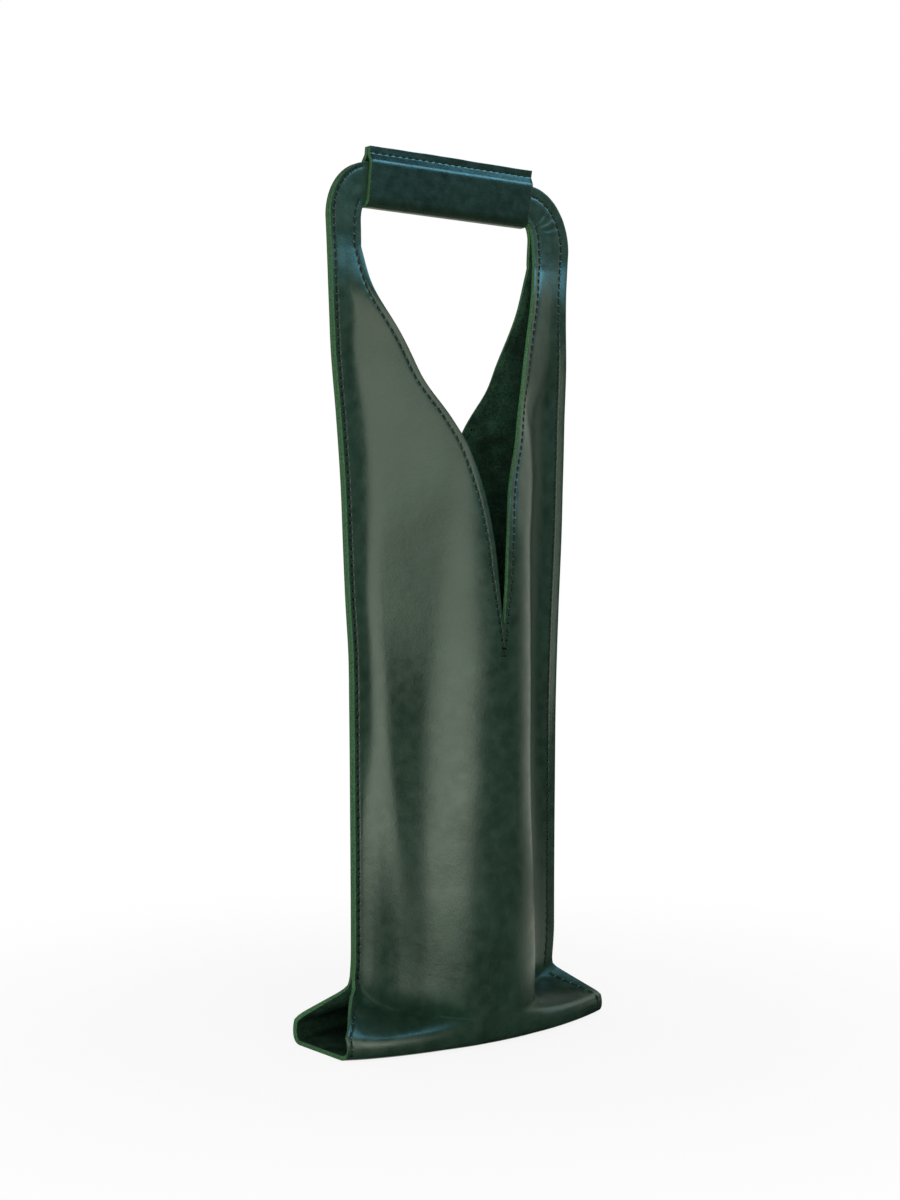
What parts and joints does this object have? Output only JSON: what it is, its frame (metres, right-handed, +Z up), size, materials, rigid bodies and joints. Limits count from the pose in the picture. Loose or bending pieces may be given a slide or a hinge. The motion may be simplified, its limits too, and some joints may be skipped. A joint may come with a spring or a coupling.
{
  "type": "bottle carrier",
  "caption": "Upright leather carrier for a bottle: a folded, side-sewn strip with a V-shaped mouth, open base ends and a wrapped loop grip that flexes.",
  "frame": {"origin": "middle of the flat underside of the base, on the surface that the carrier stands on", "axes": "+Z up through the grip, +X across the carrier along the grip, front faces -Y"},
  "size_m": [0.138, 0.0774, 0.3999],
  "materials": {
    "strip_leather": "waxed pull-up leather, dark green, semi-gloss",
    "grip_leather": "waxed pull-up leather, darker green, semi-gloss",
    "thread": "waxed thread, green"
  },
  "bodies": {
    "pouch": {"front_panel": "strip_leather", "back_panel": "strip_leather", "base_panel": "strip_leather", "left_side_seam_thread": "thread", "right_side_seam_thread": "thread", "left_bar_tack": "thread", "right_bar_tack": "thread", "left_flare_thread": "thread", "right_flare_thread": "thread", "front_mouth_thread": "thread", "back_mouth_thread": "thread"},
    "handle": {"front_handle_loop": "strip_leather", "back_handle_loop": "strip_leather", "grip_wrap": "grip_leather", "left_handle_thread": "thread", "right_handle_thread": "thread", "front_strap_thread": "thread", "back_strap_thread": "thread", "grip_seam_thread": "thread"}
  },
  "joints": [
    {"name": "handle_flex", "type": "hinge", "parent": "pouch", "child": "handle", "pos_m": [0, 0, 0.3405], "axis": [1, 0, 0], "range_deg": [-45, 45], "stiffness_Nm_per_rad": 0.25}
  ]
}
